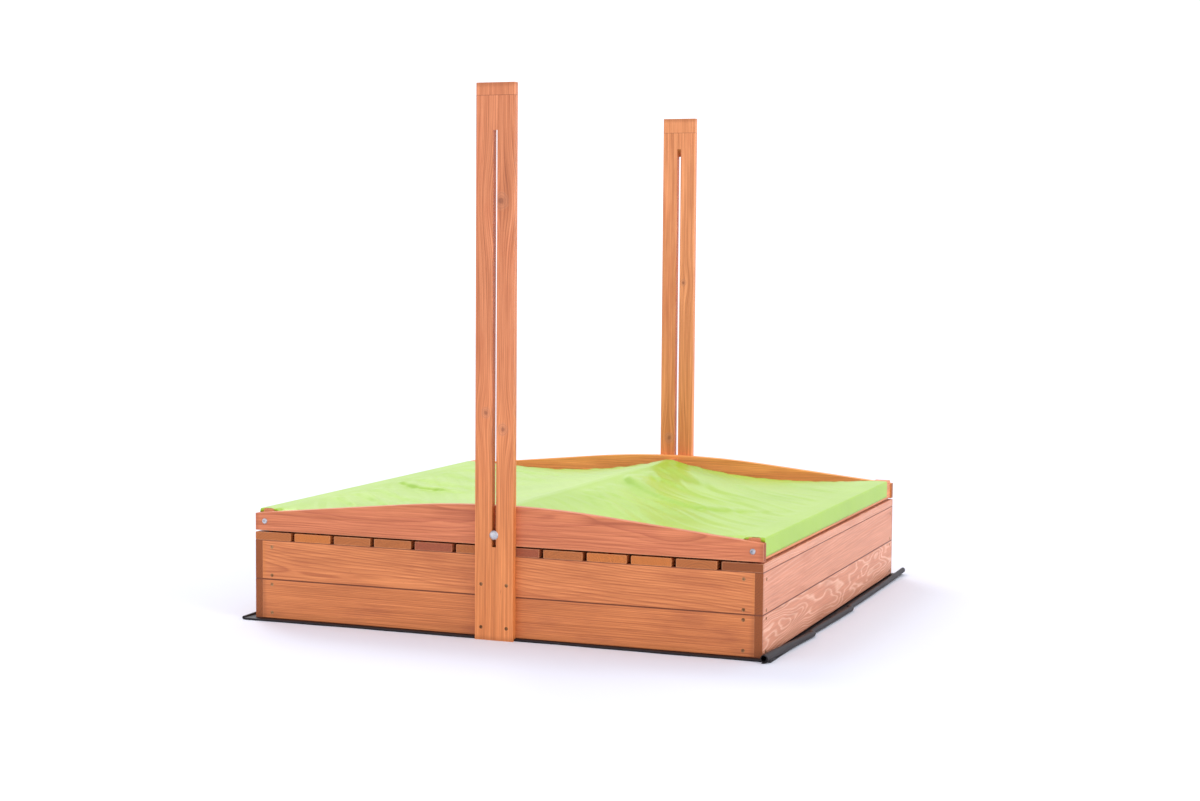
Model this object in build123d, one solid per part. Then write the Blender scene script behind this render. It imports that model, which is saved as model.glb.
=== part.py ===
from build123d import *
import math
import os

# Square wooden sandbox with a slatted lid and a fabric canopy that slides up two slotted posts.
# Millimetres. +Z is up, X runs across the front, +Y goes to the rear, and the origin is the
# middle of the ground under the box.

# ---- driving dimensions ------------------------------------------------------------------

BOX = 1200.0            # outer side of the square box
WOOD = 18.0             # thickness of every planed board, slat and post
BOARD_HEIGHT = 89.5     # one wall board; each wall is two of them
HEM = 5.0               # height of the mat's folded hem, on which the wall boards stand
MAT = 1.5               # thickness of the ground mat
MAT_FRONT_MARGIN = 14.0  # how far the mat reaches past the front and the rear
MAT_ROLL_RADIUS = 11.0   # the mat's rolled side edges
MAT_ROLL_CENTRE = 628.0
MAT_ROLL_LENGTH = 1284.0
CORNER_BLOCK = 40.0     # square blocks inside the corners
EDGE_ROUND = 1.6        # rounded long edges of the planed wood

POST_WIDTH = 90.0
POST_HEIGHT = 1200.0
SLOT_WIDTH = 10.0
SLOT_BOTTOM = 204.0     # on the outer face; the saw leaves longer ends on the inner face
SLOT_TOP = 1099.0
SLOT_OVERCUT = 20.0

SLAT_WIDTH = 90.0
SLAT_GAP = 10.4
HALF_CENTRE_GAP = 8.0   # half of the gap between the two flaps
SLATS_PER_GROUP = 3     # a flap and a bench each have three slats
FLAP_END_CLEARANCE = 0.5
BATTEN_WIDTH = 40.0
BATTEN_Y = 400.0
BATTEN_START = 14.0
BATTEN_END = 290.0

HINGE_X = 295.0         # flap hinge axis, on the flap's side of the gap
HINGE_RISE = 3.2        # hinge axis above the slats
HINGE_Y = 300.0
HINGE_WIDTH = 62.0
HINGE_BARREL_RADIUS = 3.0
HINGE_PIN_RADIUS = 1.5
HINGE_LEAF = 2.0
HINGE_LEAF_REACH = 42.0
HINGE_NOTCH = 3.4
KNUCKLE_GAP = 0.4

ROOF_GAP = 4.0          # canopy side boards above the slats
ROOF_END_HEIGHT = 38.5
ROOF_SLOPE = 0.1
ROOF_CROWN_HALF = 240.0  # the arc of the crown runs between -240 and +240
ROOF_PLAY = 0.2          # play between a post and a canopy side board
CROSSBAR = 40.0         # width
CROSSBAR_HEIGHT = 47.0
CROSSBAR_ROUND = 3.0
CROSSBAR_RISE = 4.5      # crossbars above the slats
CROSSBAR_CENTRE = 577.0
RIDGE_WIDTH = 28.0
RIDGE_HEIGHT = 32.0
RIDGE_BELOW_CROWN = 9.0

FABRIC = 1.5
FABRIC_FRONT = -579.0
FABRIC_REAR = 540.0
FABRIC_SAG = 17.0
FABRIC_STEPS = 8        # flat runs that stand for the cloth's sag on each side
FABRIC_EASE = 0.4
FABRIC_CORNER = 2.0     # bevel of the cloth's inner face over the bars' edges
FABRIC_SHORT = 7.0      # strip of the crossbars' outer faces left bare below the cloth

BOLT_Z = 230.0
BOLT_RADIUS = 4.0
BOLT_LENGTH = 50.0
BOLT_HEAD_RADIUS = 10.3
BOLT_HEAD_HEIGHT = 4.8
BOLT_NECK = 4.0
RUNNING = 0.05
WASHER_RADIUS = 12.0
WASHER = 1.6
NUT_BASE_RADIUS = 8.0
NUT_TOP_RADIUS = 6.5
NUT_HEIGHT = 9.5
WING_SPAN = 33.0
WING_HEIGHT = 19.0
WING_THICKNESS = 3.4

SCREW_HEAD_RADIUS = 4.0
SCREW_RADIUS = 2.2
PAN_HEAD_RADIUS = 6.5
PAN_HEAD_HEIGHT = 2.6
PAN_SHANK_RADIUS = 3.0
SCREW_PLAY = 0.05

# ---- levels and places worked out from them -----------------------------------------------

HALF = BOX / 2
INNER = HALF - WOOD
WALL_TOP = HEM + 2 * BOARD_HEIGHT
SLAT_TOP = WALL_TOP + WOOD
SLAT_PITCH = SLAT_WIDTH + SLAT_GAP
HINGE_Z = SLAT_TOP + HINGE_RISE
ROOF_BOTTOM = SLAT_TOP + ROOF_GAP
ROOF_OUTER = HALF - ROOF_PLAY
ROOF_INNER = ROOF_OUTER - WOOD
ROOF_END_TOP = ROOF_BOTTOM + ROOF_END_HEIGHT
CROWN_RADIUS = ROOF_CROWN_HALF / math.sin(math.atan(ROOF_SLOPE))
SHOULDER = ROOF_END_TOP + ROOF_SLOPE * (HALF - ROOF_CROWN_HALF)
CROWN = SHOULDER + CROWN_RADIUS * (1 - math.cos(math.atan(ROOF_SLOPE)))
CROSSBAR_BOTTOM = SLAT_TOP + CROSSBAR_RISE
CROSSBAR_TOP = CROSSBAR_BOTTOM + CROSSBAR_HEIGHT
RIDGE_TOP = CROWN - RIDGE_BELOW_CROWN
CORNER_SCREW_Z = BOLT_Z - 3.0
POST_SCREW_X = 30.0
BOARD_SCREW_X = 558.0
SIDE_SCREW_Y = 574.0
TOP_SCREW_INSET = 9.0
BATTEN_BOTTOM = WALL_TOP - WOOD

SIDES = {"left": -1, "right": 1}
ENDS = {"front": -1, "rear": 1}

made = {}


def keep(name, shape):
    """Remember a finished piece under its node name."""
    made[name] = shape


# ---- small builders -----------------------------------------------------------------------


def block(x, y, z):
    """A box between two values on each axis, given in any order."""
    size = [abs(b - a) for a, b in (x, y, z)]
    centre = [(a + b) / 2 for a, b in (x, y, z)]
    return Pos(*centre) * Box(*size)


def plank(x, y, z, grain, rounding=EDGE_ROUND):
    """A planed board: a box whose long edges, along the grain axis, are rounded."""
    board = block(x, y, z)
    return fillet(board.edges().filter_by(grain), rounding)


def turned(profile):
    """A solid of revolution about the local Z axis from (radius, height) points."""
    outline = Polyline([(r, 0, h) for r, h in profile], close=True)
    return revolve(Plane.XZ * make_face(Plane.XZ.to_local_coords(outline)), Axis.Z)


def aimed(point, direction):
    """Placement whose local +Z is the given direction, at the given point."""
    return Plane(origin=point, z_dir=direction)


def flat_screw(length, radius=SCREW_RADIUS, head=SCREW_HEAD_RADIUS, play=0.0):
    """A countersunk screw along local +Z, with the flat of its head at z = 0."""
    head_depth = head - radius
    top = -play
    body = turned([
        (0, top),
        (head + play, top),
        (head + play, 0),
        (radius + play, head_depth),
        (radius + play, length - radius),
        (0, length + play),
    ]) if play else turned([
        (0, 0),
        (head, 0),
        (radius, head_depth),
        (radius, length - radius),
        (0, length),
    ])
    if play:
        return body
    slot = Box(head, head * 0.24, 2.4) + Box(head * 0.24, head, 2.4)
    return body - slot


def pan_screw(length, play=0.0):
    """A pan head screw along local +Z; the head stands proud of z = 0."""
    shank = PAN_SHANK_RADIUS + play
    if play:
        return turned([(0, -play), (shank, -play), (shank, length - shank), (0, length + play)])
    body = turned([
        (0, -PAN_HEAD_HEIGHT),
        (PAN_HEAD_RADIUS * 0.55, -PAN_HEAD_HEIGHT * 0.97),
        (PAN_HEAD_RADIUS * 0.86, -PAN_HEAD_HEIGHT * 0.62),
        (PAN_HEAD_RADIUS, 0),
        (shank, 0),
        (shank, length - shank),
        (0, length),
    ])
    socket = extrude(RegularPolygon(2.6, 6), amount=2 * 1.7, both=False)
    return body - Pos(0, 0, -PAN_HEAD_HEIGHT - 1.7) * socket


def drive(places, screw, hole):
    """Screws at (point, direction) places: the screws, and the holes they need."""
    screws = [aimed(*place) * screw for place in places]
    holes = [aimed(*place) * hole for place in places]
    return screws, holes


def drilled(board, holes):
    """A board less the holes that reach it."""
    box = board.bounding_box()
    for hole in holes:
        other = hole.bounding_box()
        apart = any((
            other.min.X > box.max.X, other.max.X < box.min.X,
            other.min.Y > box.max.Y, other.max.Y < box.min.Y,
            other.min.Z > box.max.Z, other.max.Z < box.min.Z,
        ))
        if not apart:
            board = board - hole
    return board


# ---- screws -------------------------------------------------------------------------------


def wall_screw_places():
    """Screws through the wall boards into the corner blocks: two at each board's end."""
    places = []
    for end in ENDS.values():
        for side in SIDES.values():
            for z in (18.5, 83.0, 104.0, 168.5):
                places.append(((side * BOARD_SCREW_X, end * HALF, z), (0, -end, 0)))
            for z in (16.0, 85.0, 102.0, 167.0):
                places.append(((side * HALF, end * SIDE_SCREW_Y, z), (-side, 0, 0)))
    return places


def post_screw_places():
    """Four screws through the foot of each post into the walls."""
    face = HALF + WOOD
    return [
        ((x, end * face, z), (0, -end, 0))
        for end in ENDS.values()
        for x in (-POST_SCREW_X, POST_SCREW_X)
        for z in (28.0, 122.0)
    ]


def bench_slat_centres(side):
    """Middles of a bench's three slats, from the hinge outwards."""
    first = HALF - SLAT_WIDTH / 2 - (SLATS_PER_GROUP - 1) * SLAT_PITCH
    return [side * (first + n * SLAT_PITCH) for n in range(SLATS_PER_GROUP)]


def flap_slat_centres(side):
    """Middles of a flap's three slats, from the middle of the lid outwards."""
    first = HALF_CENTRE_GAP + SLAT_WIDTH / 2
    return [side * (first + n * SLAT_PITCH) for n in range(SLATS_PER_GROUP)]


def bench_screw_places():
    """Screws down through the bench slats into the walls."""
    down = (0, 0, -1)
    places = []
    for side in SIDES.values():
        for x in bench_slat_centres(side):
            for end in ENDS.values():
                for offset in (-20.0, 20.0):
                    places.append(((x + offset, end * (HALF - TOP_SCREW_INSET), SLAT_TOP), down))
        for y in (-200.0, 200.0):
            places.append(((side * (HALF - TOP_SCREW_INSET), y, SLAT_TOP), down))
    return places


def batten_screw_places(side):
    """Screws up through the battens into the flap slats."""
    return [
        ((x, end * BATTEN_Y + offset, BATTEN_BOTTOM), (0, 0, 1))
        for x in flap_slat_centres(side)
        for end in ENDS.values()
        for offset in (-10.0, 10.0)
    ]


def leaf_screw_places(side, outward):
    """Three screws for each hinge leaf; outward is 1 on the bench and -1 on the flap."""
    places = []
    for end in ENDS.values():
        for reach, y in ((24.0, -20.0), (24.0, 20.0), (34.0, 0.0)):
            x = side * (HINGE_X + outward * reach)
            places.append(((x, end * HINGE_Y + y, SLAT_TOP + HINGE_LEAF), (0, 0, -1)))
    return places


WALL_SCREWS, WALL_HOLES = drive(wall_screw_places(), flat_screw(38), flat_screw(38, play=SCREW_PLAY))
POST_SCREWS, POST_HOLES = drive(post_screw_places(), flat_screw(34), flat_screw(34, play=SCREW_PLAY))
BENCH_SCREWS, BENCH_HOLES = drive(
    bench_screw_places(), flat_screw(45), flat_screw(45, play=SCREW_PLAY))
LEAF_SCREW = flat_screw(14, radius=1.6, head=3.2)
LEAF_HOLE = flat_screw(14, radius=1.6, head=3.2, play=SCREW_PLAY)
BATTEN_SCREW = flat_screw(30, radius=1.9, head=3.6)
BATTEN_HOLE = flat_screw(30, radius=1.9, head=3.6, play=SCREW_PLAY)

keep("wall_screws", Compound(WALL_SCREWS))
keep("post_screws", Compound(POST_SCREWS))
keep("bench_screws", Compound(BENCH_SCREWS))

# ---- ground mat ---------------------------------------------------------------------------


def ground_mat():
    """The flat mat with its folded hem under the walls, notched round the two posts."""
    reach = HALF + MAT_FRONT_MARGIN
    sheet = block((-MAT_ROLL_CENTRE + 6, MAT_ROLL_CENTRE - 6), (-reach, reach), (0, MAT))
    hem_reach = HALF + 4
    hem = block((-hem_reach, hem_reach), (-hem_reach, hem_reach), (MAT, HEM))
    hem -= block((-INNER, INNER), (-INNER, INNER), (MAT, HEM))
    hem -= Compound([corner_block(x, y) for x in (-1, 1) for y in (-1, 1)])
    notch = POST_WIDTH / 2 + 0.5
    mat = sheet + hem
    for end in ENDS.values():
        mat -= block((-notch, notch), (end * (HALF - 0.3), end * (reach + 1)), (-1, HEM + 1))
    return mat


def corner_block(side, end):
    """One square block in an inner corner, standing on the mat."""
    low = INNER - CORNER_BLOCK
    return block((side * low, side * INNER), (end * low, end * INNER), (MAT, WALL_TOP))


keep("ground_mat", ground_mat())
for side_name, side in SIDES.items():
    roll = Cylinder(MAT_ROLL_RADIUS, MAT_ROLL_LENGTH, rotation=(90, 0, 0))
    keep(f"{side_name}_mat_roll", Pos(side * MAT_ROLL_CENTRE, 0, MAT_ROLL_RADIUS) * roll)

# ---- box walls ----------------------------------------------------------------------------

LEVELS = {"lower": HEM, "upper": HEM + BOARD_HEIGHT}

for level, z in LEVELS.items():
    span = (z, z + BOARD_HEIGHT)
    for end_name, end in ENDS.items():
        board = plank((-INNER, INNER), (end * INNER, end * HALF), span, Axis.X)
        holes = WALL_HOLES + POST_HOLES + BENCH_HOLES
        keep(f"{end_name}_{level}_board", drilled(board, holes))
    for side_name, side in SIDES.items():
        board = plank((side * INNER, side * HALF), (-HALF, HALF), span, Axis.Y)
        keep(f"{side_name}_{level}_board", drilled(board, WALL_HOLES + BENCH_HOLES))

for end_name, end in ENDS.items():
    for side_name, side in SIDES.items():
        corner = corner_block(side, end)
        keep(f"{end_name}_{side_name}_corner_block", drilled(corner, WALL_HOLES))

# ---- posts --------------------------------------------------------------------------------


def post(end):
    """An upright with a long slot; both ends of the slot slope where the saw ran out."""
    inner = HALF
    outer = HALF + WOOD
    half = POST_WIDTH / 2
    upright = plank((-half, half), (end * inner, end * outer), (0, POST_HEIGHT), Axis.Z)
    slope = SLOT_OVERCUT / WOOD
    past = 2.0
    outline = [
        (end * (outer + past), SLOT_BOTTOM + slope * past),
        (end * (outer + past), SLOT_TOP - slope * past),
        (end * (inner - past), SLOT_TOP + SLOT_OVERCUT + slope * past),
        (end * (inner - past), SLOT_BOTTOM - SLOT_OVERCUT - slope * past),
    ]
    face = make_face(Polyline([(0, y, z) for y, z in outline], close=True))
    slot = extrude(face, amount=SLOT_WIDTH / 2, dir=(1, 0, 0), both=True)
    return drilled(upright - slot, POST_HOLES)


for end_name, end in ENDS.items():
    keep(f"{end_name}_post", post(end))

# ---- lid: fixed bench slats, hinged flaps -------------------------------------------------

leaf_screws = {
    (side_name, outward): drive(leaf_screw_places(side, outward), LEAF_SCREW, LEAF_HOLE)
    for side_name, side in SIDES.items()
    for outward in (1, -1)
}

for side_name, side in SIDES.items():
    for number, x in enumerate(bench_slat_centres(side), 1):
        half = SLAT_WIDTH / 2
        slat = plank((x - half, x + half), (-HALF, HALF), (WALL_TOP, SLAT_TOP), Axis.Y)
        holes = BENCH_HOLES + leaf_screws[side_name, 1][1]
        keep(f"{side_name}_bench_slat_{number}", drilled(slat, holes))

    batten_screws, batten_holes = drive(batten_screw_places(side), BATTEN_SCREW, BATTEN_HOLE)
    keep(f"{side_name}_batten_screws", Compound(batten_screws))
    length = HALF - FLAP_END_CLEARANCE
    for number, x in enumerate(flap_slat_centres(side), 1):
        slat = plank((x - half, x + half), (-length, length), (WALL_TOP, SLAT_TOP), Axis.Y)
        holes = batten_holes + leaf_screws[side_name, -1][1]
        keep(f"{side_name}_flap_slat_{number}", drilled(slat, holes))

    battens = []
    for end in ENDS.values():
        y = end * BATTEN_Y
        batten = plank(
            (side * BATTEN_START, side * BATTEN_END),
            (y - BATTEN_WIDTH / 2, y + BATTEN_WIDTH / 2),
            (BATTEN_BOTTOM, WALL_TOP),
            Axis.X,
        )
        battens.append(drilled(batten, batten_holes))
    keep(f"{side_name}_flap_battens", Compound(battens))

# ---- flap hinges --------------------------------------------------------------------------


def hinge_leaf(side, outward, holes):
    """One leaf at each hinge; the bench leaf has two knuckles and the flap leaf the middle one."""
    third = HINGE_WIDTH / 3
    pieces = []
    for end in ENDS.values():
        middle = end * HINGE_Y
        far = side * (HINGE_X + outward * HINGE_LEAF_REACH)
        edge = HINGE_WIDTH / 2
        plate = block((side * HINGE_X, far), (middle - edge, middle + edge),
                      (SLAT_TOP, SLAT_TOP + HINGE_LEAF))
        corners = plate.edges().filter_by(Axis.Z).sort_by(lambda e: abs(e.center().X - far))[:2]
        plate = fillet(corners, 4)
        if outward == 1:
            knuckles = [(-edge, -third / 2 - KNUCKLE_GAP), (third / 2 + KNUCKLE_GAP, edge)]
            notches = [(-third / 2 - KNUCKLE_GAP, third / 2 + KNUCKLE_GAP)]
        else:
            knuckles = [(-third / 2, third / 2)]
            notches = [(-edge - 1, -third / 2), (third / 2, edge + 1)]
        for low, high in notches:
            near = (side * (HINGE_X - outward), side * (HINGE_X + outward * HINGE_NOTCH))
            plate -= block(near, (middle + low, middle + high), (SLAT_TOP - 1, HINGE_Z))
        for low, high in knuckles:
            barrel = Cylinder(HINGE_BARREL_RADIUS, high - low, rotation=(90, 0, 0))
            plate += Pos(side * HINGE_X, middle + (low + high) / 2, HINGE_Z) * barrel
        bore = Cylinder(HINGE_PIN_RADIUS + RUNNING, HINGE_WIDTH + 2, rotation=(90, 0, 0))
        plate -= Pos(side * HINGE_X, middle, HINGE_Z) * bore
        pieces.append(drilled(plate, holes))
    return Compound(pieces)


for side_name, side in SIDES.items():
    for outward, owner in ((1, "bench"), (-1, "flap")):
        screws, holes = leaf_screws[side_name, outward]
        keep(f"{side_name}_hinge_{owner}_leaves", hinge_leaf(side, outward, holes))
        keep(f"{side_name}_hinge_{owner}_screws", Compound(screws))
    pins = [
        Pos(side * HINGE_X, end * HINGE_Y, HINGE_Z)
        * Cylinder(HINGE_PIN_RADIUS, HINGE_WIDTH, rotation=(90, 0, 0))
        for end in ENDS.values()
    ]
    keep(f"{side_name}_hinge_pins", Compound(pins))

# ---- canopy frame -------------------------------------------------------------------------

CORNER_SCREW_PLACES = [
    ((side * (CROSSBAR_CENTRE - 0.5), end * ROOF_OUTER, CORNER_SCREW_Z), (0, -end, 0))
    for end in ENDS.values()
    for side in SIDES.values()
]
RIDGE_SCREW_PLACES = [
    ((x, end * ROOF_OUTER, RIDGE_TOP - RIDGE_HEIGHT / 2), (0, -end, 0))
    for end in ENDS.values()
    for x in (-8.0, 8.0)
]
CORNER_SCREWS, CORNER_HOLES = drive(
    CORNER_SCREW_PLACES, pan_screw(60), pan_screw(60, play=SCREW_PLAY))
RIDGE_SCREWS, RIDGE_HOLES = drive(
    RIDGE_SCREW_PLACES, flat_screw(50), flat_screw(50, play=SCREW_PLAY))
keep("canopy_corner_screws", Compound(CORNER_SCREWS))
keep("ridge_screws", Compound(RIDGE_SCREWS))


def canopy_side(end):
    """A side board: flat below, two straight slopes above that meet in a long low arc."""
    outline = [
        Line((-HALF, 0, ROOF_BOTTOM), (HALF, 0, ROOF_BOTTOM)),
        Line((HALF, 0, ROOF_BOTTOM), (HALF, 0, ROOF_END_TOP)),
        Line((HALF, 0, ROOF_END_TOP), (ROOF_CROWN_HALF, 0, SHOULDER)),
        ThreePointArc((ROOF_CROWN_HALF, 0, SHOULDER), (0, 0, CROWN), (-ROOF_CROWN_HALF, 0, SHOULDER)),
        Line((-ROOF_CROWN_HALF, 0, SHOULDER), (-HALF, 0, ROOF_END_TOP)),
        Line((-HALF, 0, ROOF_END_TOP), (-HALF, 0, ROOF_BOTTOM)),
    ]
    low, high = sorted((end * ROOF_INNER, end * ROOF_OUTER))
    board = Pos(0, low, 0) * extrude(make_face(outline), amount=high - low, dir=(0, 1, 0))
    top = board.edges().filter_by(lambda e: e.center().Z > ROOF_END_TOP and abs(
        e.tangent_at(0.5).Y) < 0.5)
    board = fillet(top, EDGE_ROUND)
    bore = Pos(0, end * ROOF_OUTER, BOLT_Z) * Cylinder(
        BOLT_RADIUS + RUNNING, 3 * WOOD, rotation=(90, 0, 0))
    return drilled(board - bore, CORNER_HOLES + RIDGE_HOLES)


for end_name, end in ENDS.items():
    keep(f"{end_name}_canopy_side", canopy_side(end))

for side_name, side in SIDES.items():
    x = side * CROSSBAR_CENTRE
    bar = plank((x - CROSSBAR / 2, x + CROSSBAR / 2), (-ROOF_INNER, ROOF_INNER),
                (CROSSBAR_BOTTOM, CROSSBAR_TOP), Axis.Y, rounding=CROSSBAR_ROUND)
    keep(f"{side_name}_crossbar", drilled(bar, CORNER_HOLES))

ridge = block((-RIDGE_WIDTH / 2, RIDGE_WIDTH / 2), (-ROOF_INNER, ROOF_INNER),
              (RIDGE_TOP - RIDGE_HEIGHT, RIDGE_TOP))
ridge = fillet(ridge.edges().filter_by(Axis.Y).sort_by(Axis.Z)[2:], 8.0)
keep("ridge_bar", drilled(ridge, RIDGE_HOLES))

# ---- canopy fabric ------------------------------------------------------------------------


def fabric_line(offset):
    """Half of the cloth's section, from the ridge down the crossbar's face, as (x, z) points."""
    ridge_z = RIDGE_TOP + FABRIC_EASE + offset
    bar_z = CROSSBAR_TOP + FABRIC_EASE + offset
    outer = CROSSBAR_CENTRE + CROSSBAR / 2 + FABRIC_EASE + offset
    start = RIDGE_WIDTH / 2 - FABRIC_CORNER
    run = CROSSBAR_CENTRE - CROSSBAR / 2 + CROSSBAR_ROUND - start
    points = []
    for step in range(FABRIC_STEPS + 1):
        t = step / FABRIC_STEPS
        sag = 4 * FABRIC_SAG * t * (1 - t)
        points.append((start + run * t, ridge_z + (bar_z - ridge_z) * t - sag))
    points += [
        (outer - FABRIC_CORNER, bar_z),
        (outer, bar_z - FABRIC_CORNER),
        (outer, CROSSBAR_BOTTOM + FABRIC_SHORT),
    ]
    return points


def canopy_fabric():
    """The cloth as one thin closed shell over the ridge bar and round both crossbars."""
    inside = fabric_line(0.0)
    outside = fabric_line(FABRIC)
    right = outside + inside[::-1]
    left = [(-x, z) for x, z in right[::-1]]
    section = make_face(Polyline([(x, FABRIC_FRONT, z) for x, z in right + left], close=True))
    return extrude(section, amount=FABRIC_REAR - FABRIC_FRONT, dir=(0, 1, 0))


keep("canopy_fabric", canopy_fabric())

# ---- sliding bolts, washers and wing nuts -------------------------------------------------


def carriage_bolt():
    """A domed bolt with a square neck, along local +Z from the underside of its head."""
    dome_radius = (BOLT_HEAD_RADIUS ** 2 + BOLT_HEAD_HEIGHT ** 2) / (2 * BOLT_HEAD_HEIGHT)
    dome = Pos(0, 0, dome_radius - BOLT_HEAD_HEIGHT) * Sphere(dome_radius)
    dome &= Pos(0, 0, -BOLT_HEAD_HEIGHT / 2) * Box(
        4 * BOLT_HEAD_RADIUS, 4 * BOLT_HEAD_RADIUS, BOLT_HEAD_HEIGHT)
    shank = Pos(0, 0, BOLT_LENGTH / 2) * Cylinder(BOLT_RADIUS, BOLT_LENGTH)
    shank = chamfer(shank.edges().sort_by(Axis.Z)[-1], 0.8)
    neck = Pos(0, 0, BOLT_NECK / 2) * Box(2 * BOLT_RADIUS, 2 * BOLT_RADIUS, BOLT_NECK)
    return dome + shank + neck


def wing_nut():
    """A wing nut along local +Z, seated at z = 0, with its two wings in the local X direction."""
    base = Pos(0, 0, NUT_HEIGHT / 2) * Cone(NUT_BASE_RADIUS, NUT_TOP_RADIUS, NUT_HEIGHT)
    half = WING_SPAN / 2
    outline = Polyline([
        (2.0, 0, 1.5),
        (NUT_BASE_RADIUS - 1, 0, 1.5),
        (half - 4.5, 0, WING_HEIGHT * 0.42),
        (half - 0.6, 0, WING_HEIGHT * 0.80),
        (half - 1.6, 0, WING_HEIGHT - 0.8),
        (half - 5.0, 0, WING_HEIGHT),
        (NUT_TOP_RADIUS, 0, NUT_HEIGHT + 1.5),
        (2.0, 0, NUT_HEIGHT - 0.5),
    ], close=True)
    wing = extrude(make_face(outline), amount=WING_THICKNESS / 2, dir=(0, 1, 0), both=True)
    wing = fillet(wing.edges().filter_by(lambda e: e.center().X > half - 8 and abs(
        e.tangent_at(0.5).Y) > 0.9), 1.4)
    nut = base + wing + mirror(wing, Plane.YZ)
    return nut - Cylinder(BOLT_RADIUS + RUNNING, 4 * NUT_HEIGHT)


for end_name, end in ENDS.items():
    inwards = (0, -end, 0)
    seat = end * (HALF + WOOD + ROOF_PLAY)
    keep(f"{end_name}_bolt", aimed((0, seat, BOLT_Z), inwards) * carriage_bolt())
    ring = Cylinder(WASHER_RADIUS, WASHER) - Cylinder(BOLT_RADIUS + 0.3, 2 * WASHER)
    washer_y = end * (ROOF_INNER - 0.1 - WASHER / 2)
    keep(f"{end_name}_washer", aimed((0, washer_y, BOLT_Z), inwards) * ring)
    nut_y = end * (ROOF_INNER - WASHER - 0.2)
    keep(f"{end_name}_wing_nut", aimed((0, nut_y, BOLT_Z), inwards) * wing_nut())

# ---- write every piece --------------------------------------------------------------------

os.makedirs("parts", exist_ok=True)
for old in os.listdir("parts"):
    os.remove(os.path.join("parts", old))
for name, shape in made.items():
    export_step(shape, f"parts/{name}.step")
print(len(made), "nodes")
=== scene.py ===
"""Looks of a square wooden sandbox with a slatted lid and a green canopy on two slotted posts.

Metres. +Z is up, X runs across the front, the front faces -Y, and the ground is z = 0.
"""
import math

import bpy
import numpy as np
from mathutils import Matrix, Vector


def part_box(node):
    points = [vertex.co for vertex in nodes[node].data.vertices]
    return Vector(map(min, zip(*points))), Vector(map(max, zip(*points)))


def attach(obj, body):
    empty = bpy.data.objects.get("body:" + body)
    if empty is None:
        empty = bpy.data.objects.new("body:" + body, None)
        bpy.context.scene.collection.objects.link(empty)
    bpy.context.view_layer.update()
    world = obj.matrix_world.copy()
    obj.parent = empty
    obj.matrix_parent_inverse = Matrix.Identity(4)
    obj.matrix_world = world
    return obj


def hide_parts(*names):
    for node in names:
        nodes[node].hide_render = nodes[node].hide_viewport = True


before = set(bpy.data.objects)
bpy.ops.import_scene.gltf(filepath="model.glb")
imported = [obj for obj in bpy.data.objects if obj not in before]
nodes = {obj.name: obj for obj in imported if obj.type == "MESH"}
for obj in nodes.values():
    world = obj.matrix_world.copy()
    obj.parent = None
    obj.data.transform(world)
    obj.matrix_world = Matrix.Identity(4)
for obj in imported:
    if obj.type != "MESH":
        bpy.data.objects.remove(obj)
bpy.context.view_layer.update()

MM = 0.001

# ---- camera ------------------------------------------------------------------------------

CAMERA_PLACE = Vector((1.7490, -4.5555, 0.8443))
CAMERA_YAW = math.radians(20.928)      # turned to the left of +Y
CAMERA_PITCH = math.radians(4.262)     # below the horizon
CAMERA_ROLL = math.radians(0.431)
CAMERA_LENS_MM = 60.24
SENSOR_MM = 36.0
CAMERA_REACH = 100.0


def make_camera():
    ahead = Vector((-math.sin(CAMERA_YAW) * math.cos(CAMERA_PITCH),
                    math.cos(CAMERA_YAW) * math.cos(CAMERA_PITCH),
                    -math.sin(CAMERA_PITCH)))
    level = Vector((math.cos(CAMERA_YAW), math.sin(CAMERA_YAW), 0.0))
    upright = level.cross(ahead)
    right = level * math.cos(CAMERA_ROLL) + upright * math.sin(CAMERA_ROLL)
    up = upright * math.cos(CAMERA_ROLL) - level * math.sin(CAMERA_ROLL)
    data = bpy.data.cameras.new("camera")
    data.lens = CAMERA_LENS_MM
    data.sensor_width = SENSOR_MM
    data.clip_end = CAMERA_REACH
    camera = bpy.data.objects.new("camera", data)
    turn = Matrix((right, up, -ahead)).transposed().to_4x4()
    camera.matrix_world = Matrix.Translation(CAMERA_PLACE) @ turn
    bpy.context.scene.collection.objects.link(camera)
    bpy.context.scene.camera = camera


make_camera()

# ---- node graphs -------------------------------------------------------------------------


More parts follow.
